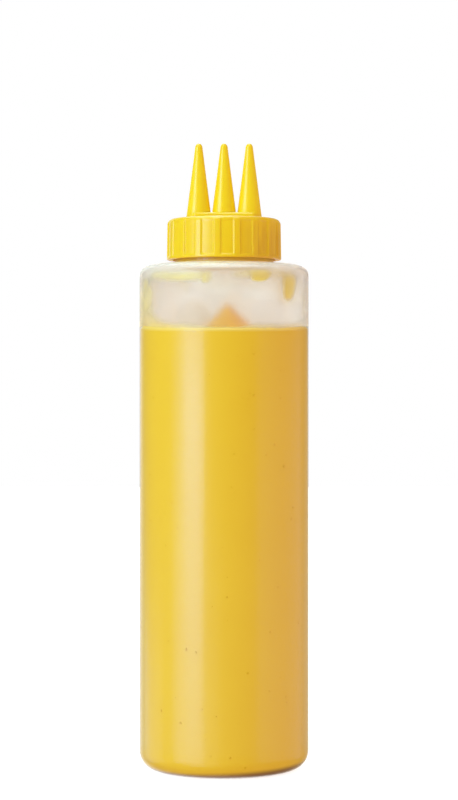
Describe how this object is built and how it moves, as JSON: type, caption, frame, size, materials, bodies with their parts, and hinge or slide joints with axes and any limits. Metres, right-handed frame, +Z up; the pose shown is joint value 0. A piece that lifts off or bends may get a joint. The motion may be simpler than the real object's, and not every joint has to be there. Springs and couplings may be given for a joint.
{
  "type": "triple-tip squeeze bottle",
  "caption": "Tall translucent squeeze bottle filled with a thick yellow sauce, under a ribbed yellow screw cap that carries a row of tapered dispensing nozzles.",
  "frame": {"origin": "centre of the base, on the plane that the bottle stands on", "axes": "+Z up through the middle nozzle, +X along the row of nozzles, -Y towards the viewer"},
  "size_m": [0.0684, 0.0684, 0.2523],
  "materials": {
    "bottle_plastic": "natural translucent squeeze plastic, milky and softly frosted, with a satin surface",
    "sauce": "thick opaque creamy yellow sauce with a few fine specks",
    "cap_plastic": "bright yellow moulded plastic, satin"
  },
  "bodies": {
    "root": {"bottle": "bottle_plastic", "sauce": "sauce", "cap": "cap_plastic"}
  },
  "joints": []
}
